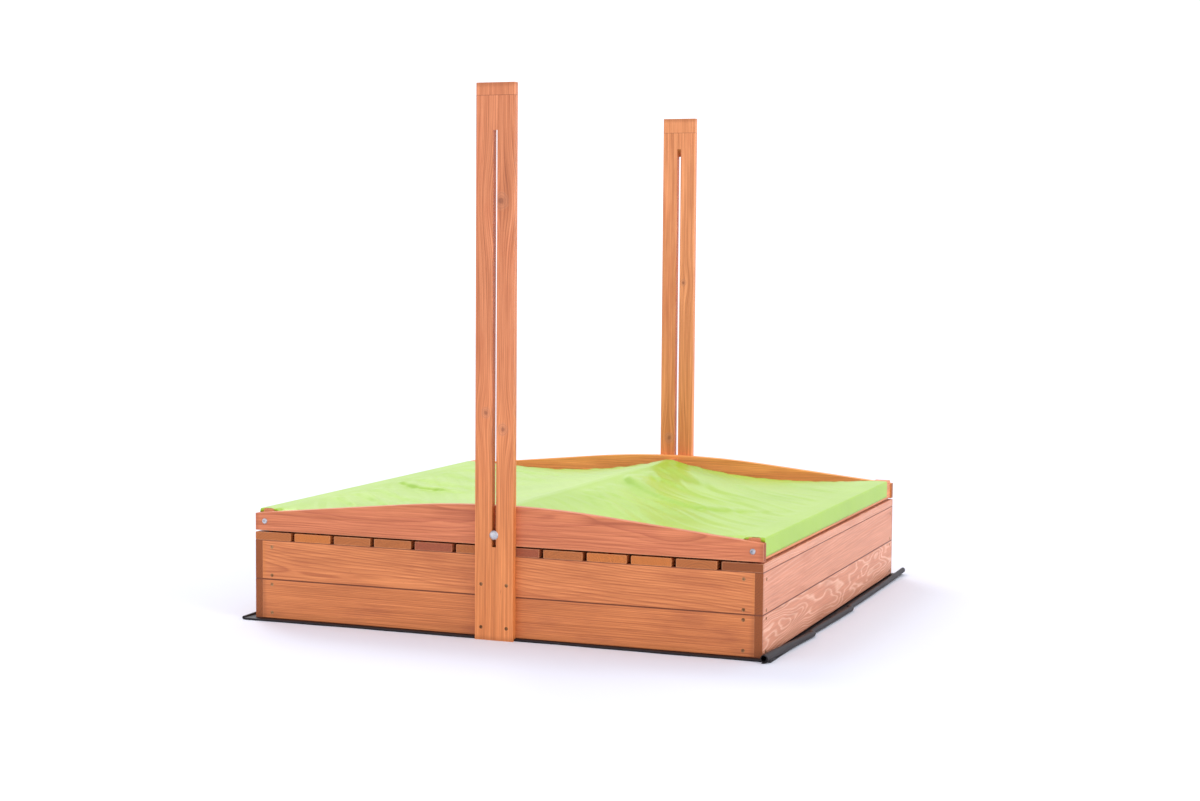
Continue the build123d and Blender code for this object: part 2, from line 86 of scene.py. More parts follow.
class Graph:
    """Short names for building one material's nodes."""

    def __init__(self, name):
        self.material = bpy.data.materials.new(name)
        self.material.use_nodes = True
        self.nodes = self.material.node_tree.nodes
        self.links = self.material.node_tree.links
        self.nodes.clear()
        self.coordinates = self.nodes.new("ShaderNodeTexCoord")

    def add(self, kind, values=(), **settings):
        """Adds a node. values feed its sockets, and settings are its properties."""
        node = self.nodes.new(kind)
        for name, value in settings.items():
            setattr(node, name, value)
        for socket, value in dict(values).items():
            self.feed(node.inputs[socket], value)
        return node

    def feed(self, socket, value):
        if isinstance(value, bpy.types.NodeSocket):
            self.links.new(value, socket)
        else:
            socket.default_value = value

    def math(self, operation, a, b=0.0, c=0.0):
        return self.add("ShaderNodeMath", {0: a, 1: b, 2: c}, operation=operation).outputs[0]

    def split(self, vector):
        return list(self.add("ShaderNodeSeparateXYZ", {0: vector}).outputs)

    def join(self, x, y, z):
        return self.add("ShaderNodeCombineXYZ", {0: x, 1: y, 2: z}).outputs[0]

    def noise(self, vector, scale=1.0, detail=2.0, roughness=0.5, colour=False):
        node = self.add("ShaderNodeTexNoise", {
            "Vector": vector, "Scale": scale, "Detail": detail, "Roughness": roughness})
        return node.outputs[1 if colour else 0]

    def smooth(self, value, low, high, to_low=0.0, to_high=1.0):
        node = self.add("ShaderNodeMapRange", {
            "Value": value, "From Min": low, "From Max": high,
            "To Min": to_low, "To Max": to_high}, interpolation_type="SMOOTHSTEP")
        return node.outputs[0]

    def ramp(self, value, stops):
        """Greys at places from 0 to 1, with straight lines between them."""
        node = self.add("ShaderNodeValToRGB", {0: value})
        points = node.color_ramp.elements
        while len(points) < len(stops):
            points.new(0.5)
        for point, (place, grey) in zip(points, stops):
            point.position = place
            point.color = (grey, grey, grey, 1.0)
        return node.outputs[0]

    def mix(self, share, a, b, blend="MIX"):
        node = self.add("ShaderNodeMix", {0: share, 6: rgba(a), 7: rgba(b)},
                        data_type="RGBA", blend_type=blend)
        return node.outputs[2]

    def grey(self, value):
        return self.join(value, value, value)

    def warm(self, value):
        """A darkening that takes out more blue than red, as stain does."""
        return self.join(value, self.math("POWER", value, 1.35), self.math("POWER", value, 1.8))

    def darken(self, colour, factor):
        """Multiplies a colour by another."""
        return self.mix(1.0, colour, factor, "MULTIPLY")

    def square_sum(self, a, b):
        return self.math("ADD", self.math("POWER", a, 2.0), self.math("POWER", b, 2.0))

    def bump(self, height, distance):
        values = {"Height": height, "Distance": distance, "Strength": 1.0}
        return self.add("ShaderNodeBump", values).outputs[0]

    def finish(self, values):
        shader = self.add("ShaderNodeBsdfPrincipled", values)
        output = self.nodes.new("ShaderNodeOutputMaterial")
        self.links.new(shader.outputs[0], output.inputs[0])
        return self.material


def linear(value):
    return value / 12.92 if value <= 0.04045 else ((value + 0.055) / 1.055) ** 2.4


def rgb(red, green, blue):
    """A colour given as 0-255 screen values, as the linear one that shaders use."""
    return tuple(linear(v / 255) for v in (red, green, blue))


def rgba(colour):
    if isinstance(colour, bpy.types.NodeSocket):
        return colour
    return (*colour, 1.0) if len(colour) == 3 else colour


# ---- wood --------------------------------------------------------------------------------

# How a board was cut from the log. pith: where the log's centre lies beside the board's
# middle, across its face and below it. ring: width of a year ring. tilt: how much the log's
# centre leans along the board. drift: how far the rings wander, at so many waves per metre
# along, across and through the board. contrast and streaks: how strongly the year rings and
# the streaks along the grain show.
FIGURES = {
    "straight": dict(pith=(-0.150, -0.060), ring=0.0036, tilt=(0.006, 0.0), drift=0.012,
                     waves=(1.3, 7.0, 7.0), contrast=0.70, streaks=1.0),
    "sweeping": dict(pith=(-0.046, -0.052), ring=0.0050, tilt=(0.050, 0.020), drift=0.034,
                     waves=(1.9, 7.0, 7.0), contrast=0.80, streaks=1.0),
    "wavy": dict(pith=(0.016, -0.080), ring=0.0042, tilt=(0.012, 0.010), drift=0.030,
                 waves=(2.6, 9.0, 9.0), contrast=0.65, streaks=1.0),
    "gentle": dict(pith=(0.075, -0.055), ring=0.0046, tilt=(-0.030, 0.012), drift=0.018,
                   waves=(1.7, 6.0, 6.0), contrast=0.32, streaks=0.4),
    "swirled": dict(pith=(0.010, -0.110), ring=0.0021, tilt=(0.006, 0.010), drift=0.040,
                    waves=(2.4, 10.0, 10.0), contrast=0.95, streaks=0.4),
    "cathedral": dict(pith=(0.004, -0.064), ring=0.0050, tilt=(0.008, 0.030), drift=0.016,
                      waves=(1.5, 8.0, 8.0), contrast=0.75, streaks=1.0),
}

# light and dark: spring and summer wood. stain: uneven patches. end: end grain.
TONES = {
    "orange": dict(light=rgb(217, 133, 76), dark=rgb(158, 76, 32), stain=rgb(186, 102, 56),
                   end=rgb(200, 116, 50)),
    "plain": dict(light=rgb(210, 126, 68), dark=rgb(160, 78, 36), stain=rgb(172, 92, 52),
                  end=rgb(148, 78, 30)),
    "pink": dict(light=rgb(208, 138, 106), dark=rgb(242, 192, 163), stain=rgb(198, 126, 94),
                 end=rgb(148, 78, 32)),
    "golden": dict(light=rgb(250, 168, 86), dark=rgb(204, 116, 46), stain=rgb(226, 138, 66),
                   end=rgb(156, 88, 38)),
    "bar": dict(light=rgb(224, 142, 84), dark=rgb(168, 86, 40), stain=rgb(196, 112, 66),
                end=rgb(216, 142, 98)),
    "red": dict(light=rgb(210, 124, 80), dark=rgb(158, 70, 42), stain=rgb(196, 108, 70),
                end=rgb(160, 82, 50)),
    "brown": dict(light=rgb(194, 118, 66), dark=rgb(144, 72, 34), stain=rgb(160, 88, 46),
                  end=rgb(180, 104, 50)),
    "pale": dict(light=rgb(234, 152, 98), dark=rgb(172, 88, 46), stain=rgb(214, 124, 76),
                 end=rgb(148, 78, 30)),
    "post": dict(light=rgb(220, 138, 90), dark=rgb(150, 70, 36), stain=rgb(204, 116, 72),
                 end=rgb(148, 78, 30)),
}

# How dark a year ring is, from its start to its end: (share of its width, darkness).
RING_PROFILE = [(0.0, 0.25), (0.12, 0.0), (0.45, 0.10), (0.78, 0.62), (0.93, 1.0), (1.0, 0.35)]
THIN_RINGS = [(0.0, 0.12), (0.10, 0.0), (0.52, 0.04), (0.74, 0.70), (0.86, 1.0), (1.0, 0.18)]
THIN_RINGED_TONE = "pink"
RING_UNEVENNESS = 3.0      # how far the rings' spacing varies, in rings

# Noise drawn out along the grain: cells per metre along and across it, and how rough it is.
GRAINS = {
    "fibre": dict(cells=(9.0, 520.0), detail=3.0, roughness=0.65),
    "streak": dict(cells=(2.2, 70.0), detail=3.0, roughness=0.60),
    "hair": dict(cells=(4.0, 210.0), detail=2.0, roughness=0.55),
    "speck": dict(cells=(60.0, 330.0), detail=2.0, roughness=0.50),
}
PATCH_CELLS = (5.0, 17.0, 17.0)

# Knots. The grain flows round a knot in a shape drawn out along the board.
KNOT_FLOW_STRETCH = 0.42
KNOT_FLOW_REACH = 2.6      # in knot radii
KNOT_FLOW_BEND = 0.82
KNOT_OVAL = 0.86
KNOT_WOBBLE = 0.5          # in knot radii
KNOT_TURNS = 3.2
KNOT_OUTLINE = (1.55, 1.15)    # where a knot fades into the board, in knot radii
KNOT_HEART = (0.95, 0.45)      # and where its dark middle starts
KNOTTY_STREAKS = 1.5       # boards with knots are this much more streaky

JOINT_STEP = 0.043         # how far the rings jump sideways at a finger joint
GOLDEN_PART = (0.15, -0.50)    # where a post turns golden, along it from its middle

# Marks on the wood, each with the distances at which it starts and is strongest: the line of
# a finger joint, the stain before a board's end, pale edges that are partly rubbed wear and
# partly a painted highlight, and painted shade in the seams.
JOINT_LINE = (1.1 * MM, 0.3 * MM)
END_STAIN = (7 * MM, -5 * MM)
END_STAIN_UNEVENNESS = 12 * MM
WORN_LIT_EDGE = (2.6 * MM, 1.2 * MM)
WORN_LIT_EDGE_UNEVENNESS = 2.4 * MM
SEAM_SHADE = (2.3 * MM, 1.0 * MM)
WOOD_RELIEF = 0.35 * MM

KNOT_CORE = rgb(112, 56, 30)
KNOT_RING = rgb(224, 150, 108)
# colour of the pale edges: partly rubbed wear, partly a painted highlight
WORN_LIT_EDGE_COLOUR = rgb(232, 168, 122)
GOLDEN_FOOT = rgb(222, 134, 58)


def board_axes(low, high):
    """Indices of the axes along the grain, across the face and through the thickness."""
    size = [high[i] - low[i] for i in range(3)]
    return sorted(range(3), key=lambda i: -size[i])


def bend_round_knots(g, board, bent, knots):
    """Leads the grain round a board's knots, each (along, across, radius) from its middle.

    bent is the distance across the board at which the year rings are read. It comes back
    bent round the knots, with the knots' outlines and their own rings.
    """
    along, across, _ = board
    outline = 0.0
    own_rings = 0.0
    for knot_along, knot_across, radius in knots:
        far_along = g.math("SUBTRACT", along, knot_along)
        far_across = g.math("SUBTRACT", across, knot_across)
        flow = g.square_sum(g.math("MULTIPLY", far_along, KNOT_FLOW_STRETCH), far_across)
        fade = -1 / (KNOT_FLOW_REACH * radius) ** 2
        pull = g.math("EXPONENT", g.math("MULTIPLY", flow, fade))
        shift = g.math("MULTIPLY", far_across, pull)
        bent = g.math("MULTIPLY_ADD", shift, -KNOT_FLOW_BEND, bent)

        around = g.square_sum(g.math("MULTIPLY", far_along, KNOT_OVAL), far_across)
        wobble = g.noise(g.join(*board), scale=90.0)
        around = g.math("MULTIPLY_ADD", wobble, radius * KNOT_WOBBLE, g.math("SQRT", around))
        here = g.smooth(around, *[radius * share for share in KNOT_OUTLINE])
        outline = g.math("MAXIMUM", here, outline)
        turns = g.math("FRACT", g.math("MULTIPLY", around, KNOT_TURNS / radius))
        heart = g.smooth(around, *[radius * share for share in KNOT_HEART])
        rings = g.math("MAXIMUM", g.math("MULTIPLY", turns, 0.55), heart)
        own_rings = g.math("MAXIMUM", g.math("MULTIPLY", rings, here), own_rings)
    return bent, outline, own_rings


def year_rings(g, board, cut, profile, seed):
    """How much of each place is dark summer wood, from its distance to the log's centre."""
    along, across, through = board
    waves = [g.math("MULTIPLY", part, k) for part, k in zip(board, cut["waves"])]
    waves[0] = g.math("ADD", waves[0], seed * 7.31)
    waves[1] = g.math("ADD", waves[1], seed * 3.17)
    drift = g.split(g.noise(g.join(*waves), detail=2.5, colour=True))
    from_pith = []
    for part, lean, centre, wander in zip((across, through), cut["tilt"], cut["pith"], drift):
        part = g.math("MULTIPLY_ADD", along, lean, part)
        wander = g.math("SUBTRACT", wander, 0.5)
        part = g.math("MULTIPLY_ADD", wander, cut["drift"], part)
        from_pith.append(g.math("SUBTRACT", part, centre))
    distance = g.math("SQRT", g.square_sum(*from_pith))
    turns = g.math("DIVIDE", distance, cut["ring"])
    uneven = g.noise(g.join(g.math("MULTIPLY", turns, 0.23), seed, 0.0), detail=1.0)
    turns = g.math("MULTIPLY_ADD", uneven, RING_UNEVENNESS, turns)
    late = g.ramp(g.math("FRACT", turns), profile)
    strength = g.noise(g.join(g.math("MULTIPLY", turns, 0.41), seed + 5.0, 0.0), detail=2.0)
    strength = g.smooth(strength, 0.30, 0.70, 0.35, 1.0)
    return g.math("MULTIPLY", late, strength)


def grain_noises(g, board, seed):
    """The noises in GRAINS, and broad patches, by name."""
    along, across, through = board
    noises = {}
    for shift, (name, grain) in enumerate(GRAINS.items(), start=1):
        lengthwise, crosswise = grain["cells"]
        place = g.join(g.math("MULTIPLY", along, lengthwise),
                       g.math("MULTIPLY", across, crosswise),
                       g.math("MULTIPLY_ADD", through, crosswise, seed * shift))
        noises[name] = g.noise(place, detail=grain["detail"], roughness=grain["roughness"])
    place = g.join(g.math("MULTIPLY_ADD", along, PATCH_CELLS[0], seed),
                   g.math("MULTIPLY", across, PATCH_CELLS[1]),
                   g.math("MULTIPLY", through, PATCH_CELLS[2]))
    noises["patch"] = g.noise(place, detail=4.0, roughness=0.6)
    return noises


def wood(name, low, high, axes, figure, tone, seed, knots=(), joint=None, edge_wear_and_highlight=0.42,
         seam_shade=0.0, golden_foot=0.0):
    """Solid wood: year rings cut by the board's faces, with fibres, stain, ends, wear, and painted
    highlight and shade at the edges.

    joint is where along the board another length is finger-jointed on. The argument after it is
    how pale the edges turn, partly rubbed wear and partly a painted highlight where their rounding
    catches light, and the next how dark the long edges are where boards meet, which is painted
    shade. golden_foot is how much yellower the low end is.
    """
    cut = FIGURES[figure]
    shade = TONES[tone]
    g = Graph(name)
    place = g.split(g.coordinates.outputs["Object"])
    straight = [g.math("SUBTRACT", place[i], (low[i] + high[i]) / 2) for i in axes]
    along, across, through = straight
    if joint is not None:
        beyond = g.math("GREATER_THAN", along, joint)
        across = g.math("MULTIPLY_ADD", beyond, JOINT_STEP, across)
    across, knot_outline, knot_rings = bend_round_knots(g, straight, across, knots)
    board = (along, across, through)
    profile = THIN_RINGS if tone == THIN_RINGED_TONE else RING_PROFILE
    late = year_rings(g, board, cut, profile, seed)
    noises = grain_noises(g, board, seed)

    contrast = g.math("MULTIPLY", late, cut["contrast"])
    colour = g.mix(contrast, shade["light"], shade["dark"])
    colour = g.mix(g.smooth(noises["patch"], 0.50, 0.72, 0.0, 0.5), colour, shade["stain"])
    if golden_foot:
        foot = g.smooth(along, *GOLDEN_PART, 0.0, golden_foot)
        colour = g.mix(foot, colour, GOLDEN_FOOT)
    fine = g.smooth(noises["fibre"], 0.25, 0.75, 0.84, 1.12)
    colour = g.darken(colour, g.warm(fine))
    streaks = cut["streaks"] * (KNOTTY_STREAKS if knots else 1.0)
    broad = g.smooth(noises["streak"], 0.30, 0.72, 1.0 + 0.05 * streaks, 1.0 - 0.08 * streaks)
    colour = g.darken(colour, g.warm(broad))
    hair = g.smooth(noises["hair"], 0.30, 0.72, 1.0 + 0.06 * streaks, 1.0 - 0.12 * streaks)
    colour = g.darken(colour, g.warm(hair))
    # dark pores and dirt specks drawn out along the grain
    speck = g.smooth(noises["speck"], 0.70, 0.80, 0.0, 0.45)
    colour = g.mix(speck, colour, shade["dark"])

    if joint is not None:
        colour = g.mix(g.math("MULTIPLY", beyond, 0.18), colour, shade["light"])
        from_joint = g.math("ABSOLUTE", g.math("SUBTRACT", along, joint))
        line = g.smooth(from_joint, *JOINT_LINE, 0.0, 0.5)
        colour = g.mix(line, colour, KNOT_CORE)
    if knots:
        colour = g.mix(g.math("MULTIPLY", knot_outline, 0.30), colour, KNOT_RING)
        colour = g.mix(g.math("MULTIPLY", knot_rings, 0.60), colour, KNOT_CORE)

    # end grain drinks the stain, and the wood just before it is darker too
    facing = g.split(g.coordinates.outputs["Normal"])
    is_end = g.smooth(g.math("ABSOLUTE", facing[axes[0]]), 0.55, 0.85)
    half = (high[axes[0]] - low[axes[0]]) / 2
    to_end = g.math("SUBTRACT", half, g.math("ABSOLUTE", along))
    to_end = g.math("MULTIPLY_ADD", noises["patch"], -END_STAIN_UNEVENNESS, to_end)
    colour = g.mix(g.smooth(to_end, *END_STAIN, 0.0, 0.45), colour, shade["end"])
    end_speck = g.noise(g.coordinates.outputs["Object"], scale=700.0, detail=2.0)
    end_grey = g.smooth(end_speck, 0.3, 0.7, 0.80, 1.12)
    end_grey = g.math("MULTIPLY_ADD", late, -0.28, end_grey)
    colour = g.mix(is_end, colour, g.darken(shade["end"], g.grey(end_grey)))

    # paler edges, partly rubbed wear and partly a painted highlight where their rounding catches
    # light: the middle one of the three distances to the board's faces
    gaps = []
    for i in axes:
        to_low = g.math("SUBTRACT", place[i], low[i])
        to_high = g.math("SUBTRACT", high[i], place[i])
        gaps.append(g.math("MINIMUM", to_low, to_high))
    nearest = g.math("MINIMUM", gaps[0], gaps[1])
    further = g.math("MAXIMUM", gaps[0], gaps[1])
    edge = g.math("MAXIMUM", nearest, g.math("MINIMUM", further, gaps[2]))
    edge_wear_and_highlight_noise = g.noise(g.coordinates.outputs["Object"], scale=38.0, detail=4.0)
    edge = g.math("MULTIPLY_ADD", edge_wear_and_highlight_noise, WORN_LIT_EDGE_UNEVENNESS, edge)
    colour = g.mix(g.smooth(edge, *WORN_LIT_EDGE, 0.0, edge_wear_and_highlight), colour, WORN_LIT_EDGE_COLOUR)
    # painted shade: the long edges darken where boards meet, as a gap between them would shade
    # them
    if seam_shade:
        colour = g.mix(g.smooth(gaps[1], *SEAM_SHADE, 0.0, seam_shade), colour, KNOT_CORE)

    roughness = g.smooth(noises["fibre"], 0.2, 0.8, 0.46, 0.60)
    roughness = g.math("MULTIPLY_ADD", late, -0.08, roughness)
    roughness = g.math("MULTIPLY_ADD", is_end, 0.22, roughness)
    relief = g.math("MULTIPLY_ADD", late, 0.5, g.math("MULTIPLY", noises["fibre"], 0.6))
    normal = g.bump(relief, WOOD_RELIEF)
    return g.finish({"Base Color": colour, "Roughness": roughness, "Normal": normal})


# (along, across, radius) from the post's middle, and where each post is finger-jointed
POST_KNOTS = {
    "front_post": [(0.349, 0.015, 0.015), (-0.140, 0.020, 0.011), (-0.105, -0.020, 0.010)],
    "rear_post": [(0.160, 0.016, 0.008), (-0.262, -0.020, 0.012)],
}
POST_JOINT = {"front_post": 0.573, "rear_post": 0.562}

# The figure and tone of each board. The slats take theirs in turn from SLAT_LOOKS.
BOARDS = {
    "front_upper_board": ("sweeping", "orange"),
    "front_lower_board": ("straight", "plain"),
    "rear_upper_board": ("straight", "orange"),
    "rear_lower_board": ("sweeping", "plain"),
    "right_upper_board": ("gentle", "pink"),
    "right_lower_board": ("swirled", "pink"),
    "left_upper_board": ("wavy", "pink"),
    "left_lower_board": ("cathedral", "pink"),
    "front_post": ("straight", "post"),
    "rear_post": ("straight", "pale"),
    "front_canopy_side": ("wavy", "red"),
    "rear_canopy_side": ("straight", "golden"),
    "left_crossbar": ("straight", "bar"),
    "right_crossbar": ("straight", "bar"),
    "ridge_bar": ("straight", "bar"),
    "left_flap_battens": ("straight", "plain"),
    "right_flap_battens": ("wavy", "plain"),
}
SLAT_LOOKS = [("wavy", "brown"), ("straight", "orange"), ("cathedral", "brown"),
              ("straight", "brown"), ("swirled", "red")]
OUTERMOST_SLAT = ("swirled", "pink")
BLOCK_LOOK = ("straight", "plain")
# Wall boards get slightly paler edges and painted shade along their seams; posts get paler edges
# and a golden foot. The pale edges are partly wear and partly a painted highlight.
FINISHES = {"board": dict(edge_wear_and_highlight=0.10, seam_shade=0.9), "post": dict(edge_wear_and_highlight=0.22, golden_foot=0.55)}


def paint(node, material):
    slots = nodes[node].data.materials
    slots.clear()
    slots.append(material)


def paint_wood():
    looks = dict(BOARDS)
    slats = sorted(n for n in nodes if "_slat_" in n)
    for i, name in enumerate(slats):
        looks[name] = SLAT_LOOKS[i % len(SLAT_LOOKS)]
    outermost = max(slats, key=lambda name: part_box(name)[1].x)
    looks[outermost] = OUTERMOST_SLAT
    for name in sorted(n for n in nodes if n.endswith("corner_block")):
        looks[name] = BLOCK_LOOK
    for seed, (name, (figure, tone)) in enumerate(sorted(looks.items()), start=1):
        low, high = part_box(name)
        axes = [0, 1, 2] if "battens" in name else board_axes(low, high)
        finish = FINISHES.get(name.rsplit("_", 1)[-1], {})
        paint(name, wood(name + "_wood", low, high, axes, figure, tone, float(seed),
                         knots=POST_KNOTS.get(name, ()), joint=POST_JOINT.get(name),
                         **finish))


paint_wood()

# ---- metal -------------------------------------------------------------------------------

METAL_RELIEF = 0.04 * MM


def metal(name, light, dark, roughness, spots):
    """Plated steel, cloudy and finely scratched, with dull spots."""
    g = Graph(name)
    place = g.coordinates.outputs["Object"]
    cloud = g.noise(place, scale=60.0, detail=4.0)
    grain = g.noise(place, scale=1500.0, detail=2.0)
    colour = g.mix(g.smooth(cloud, 0.35, 0.7), light, dark)
    spot = g.smooth(g.noise(place, scale=420.0, detail=3.0), 0.58, 0.70, 0.0, spots)
    colour = g.mix(spot, colour, dark)
    rough = g.smooth(cloud, 0.3, 0.7, roughness - 0.08, roughness + 0.12)
    rough = g.math("MULTIPLY_ADD", grain, 0.10, rough)
    normal = g.bump(grain, METAL_RELIEF)
    return g.finish({"Base Color": colour, "Metallic": 1.0, "Roughness": rough,
                     "Normal": normal})


zinc = metal("zinc_plated", (0.62, 0.62, 0.64), (0.34, 0.35, 0.38), 0.34, 0.5)
brown_steel = metal("stained_steel", (0.50, 0.27, 0.13), (0.20, 0.09, 0.04), 0.55, 0.7)
METAL_NODES = {
    zinc: ["front_bolt", "rear_bolt", "front_washer", "rear_washer", "front_wing_nut",
           "rear_wing_nut", "canopy_corner_screws"],
    brown_steel: ["wall_screws", "post_screws", "bench_screws", "ridge_screws"],
}
for side in ("left", "right"):
    METAL_NODES[zinc] += [f"{side}_hinge_{part}" for part in
                          ("bench_leaves", "flap_leaves", "pins")]
    METAL_NODES[brown_steel] += [f"{side}_hinge_bench_screws", f"{side}_hinge_flap_screws",
                                 f"{side}_batten_screws"]
for finish, names in METAL_NODES.items():
    for name in names:
        paint(name, finish)

# ---- sheets ------------------------------------------------------------------------------


def grid_mesh(name, points, u_lengths, v_lengths):
    """A mesh of quads through points[row][column], with its UV map in metres."""
    rows, columns = points.shape[:2]
    index = np.arange(rows * columns).reshape(rows, columns)
    quads = np.stack([index[:-1, :-1], index[:-1, 1:], index[1:, 1:], index[1:, :-1]],
                     axis=-1).reshape(-1, 4)
    mesh = bpy.data.meshes.new(name)
    mesh.from_pydata(points.reshape(-1, 3).tolist(), [], quads.tolist())
    uv = np.stack(np.broadcast_arrays(u_lengths[None, :], v_lengths[:, None]), axis=-1)
    corners = np.empty(len(mesh.loops), dtype=np.int32)
    mesh.loops.foreach_get("vertex_index", corners)
    layer = mesh.uv_layers.new(name="cloth")
    layer.data.foreach_set("uv", uv.reshape(-1, 2)[corners].astype(np.float32).ravel())
    mesh.polygons.foreach_set("use_smooth", np.ones(len(mesh.polygons), dtype=bool))
    made = bpy.data.objects.new(name, mesh)
    bpy.context.scene.collection.objects.link(made)
    return made


def thicken(made, thickness):
    """Gives a sheet its thickness, half of it to each side, as part of its mesh."""
    shell = made.modifiers.new("thickness", "SOLIDIFY")
    shell.thickness = thickness
    shell.offset = 0.0
    shell.use_even_offset = True
    bpy.context.view_layer.update()
    depsgraph = bpy.context.evaluated_depsgraph_get()
    solid = bpy.data.meshes.new_from_object(made.evaluated_get(depsgraph),
                                            preserve_all_data_layers=True,
                                            depsgraph=depsgraph)
    made.modifiers.clear()
    made.data = solid


def steps(start, stop, size):
    """Evenly spaced values from start to stop, about size apart."""
    count = max(2, int(round(abs(stop - start) / size)) + 1)
    return np.linspace(start, stop, count)


def smoothstep(low, high, value):
    t = np.clip((value - low) / (high - low), 0.0, 1.0)
    return t * t * (3.0 - 2.0 * t)


def run_lengths(points):
    """The length along a run of points, from its first one to each."""
    return np.concatenate([[0.0], np.cumsum(np.linalg.norm(np.diff(points, axis=0), axis=1))])


# ---- canopy fabric -----------------------------------------------------------------------

bar_low, bar_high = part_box("right_crossbar")
ridge_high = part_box("ridge_bar")[1]
fabric_low, fabric_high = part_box("canopy_fabric")
side_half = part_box("front_canopy_side")[1].x

SIDE_END_TOP = 244.5 * MM       # top of the canopy's side boards at their ends
SIDE_SLOPE = 0.1                # and how fast it rises from there
CLOTH = 0.7 * MM
CLOTH_CELL = 5.0 * MM
CLOTH_GAP = 0.15 * MM           # between the cloth and the wood under it
CLOTH_CORNER = 3.0 * MM         # radius of its turn over a crossbar
CLOTH_LANDING = 3 * MM          # how far onto a crossbar its free part ends
RIDGE_LEAVE = ridge_high.x - 2 * MM     # where it leaves the ridge bar
RIDGE_ROUNDING = 6 * MM
CROWN = 0.9 * MM
HEM = 20.0 * MM
HEM_STEP = 0.35 * MM            # how much a hem stands up from the single cloth
HEM_CELL = 2 * MM
HEM_ZONE = HEM + 4 * MM         # the part at each edge with the small cells
THREAD_PAIR = 1.1 * MM          # width of two threads of the weave
CLOTH_RELIEF = 0.03 * MM
CLOTH_COLOURS = (rgb(153, 191, 42), rgb(144, 183, 32))
# Painted shade on fold slopes that climb to the rear and right, and a painted highlight on those
# that fall the other way.
CLOTH_PAINTED_SHADE = rgb(130, 174, 10)      # on slopes that climb to the rear and right
CLOTH_PAINTED_HIGHLIGHT = rgb(168, 203, 76)


def fabric_material():
    """Lime green plain weave, a little shiny, with slight tone differences and painted shade and
    highlight on the slopes of its folds.
    """
    g = Graph("canopy_weave")
    uv = g.split(g.coordinates.outputs["UV"])
    threads = 2 * math.pi / THREAD_PAIR
    warp = g.math("SINE", g.math("MULTIPLY", uv[0], threads))
    weft = g.math("SINE", g.math("MULTIPLY", uv[1], threads))
    weave = g.math("MULTIPLY_ADD", g.math("MULTIPLY", warp, weft), 0.5, 0.5)
    place = g.coordinates.outputs["Object"]
    cloud = g.noise(place, scale=5.0, detail=4.0)
    slub_place = g.join(g.math("MULTIPLY", uv[0], 14.0), g.math("MULTIPLY", uv[1], 900.0), 0.0)
    slub = g.noise(slub_place, detail=2.0)
    colour = g.mix(g.smooth(cloud, 0.3, 0.7), *CLOTH_COLOURS)
    # painted shade and painted highlight from the slope of the folds
    lean = g.add("ShaderNodeAttribute", attribute_name="lean").outputs["Fac"]
    shaded_slope = g.smooth(lean, 0.0, 0.60)
    lit_slope = g.smooth(lean, 0.0, -0.30)
    colour = g.mix(g.math("MULTIPLY", shaded_slope, 0.80), colour, CLOTH_PAINTED_SHADE)
    colour = g.mix(g.math("MULTIPLY", lit_slope, 0.50), colour, CLOTH_PAINTED_HIGHLIGHT)
    shade = g.math("MULTIPLY_ADD", weave, 0.08, 0.95)
    shade = g.math("MULTIPLY_ADD", slub, 0.06, shade)
    colour = g.darken(colour, g.grey(shade))
    rough = g.smooth(slub, 0.2, 0.8, 0.33, 0.43)
    rough = g.math("MULTIPLY_ADD", shaded_slope, 0.30, rough)
    relief = g.math("MULTIPLY_ADD", slub, 0.4, weave)
    normal = g.bump(relief, CLOTH_RELIEF)
    return g.finish({"Base Color": colour, "Roughness": rough, "Normal": normal,
                     "Sheen Weight": 0.04, "Sheen Roughness": 0.4,
                     "Sheen Tint": (0.93, 1.0, 0.80, 1.0)})


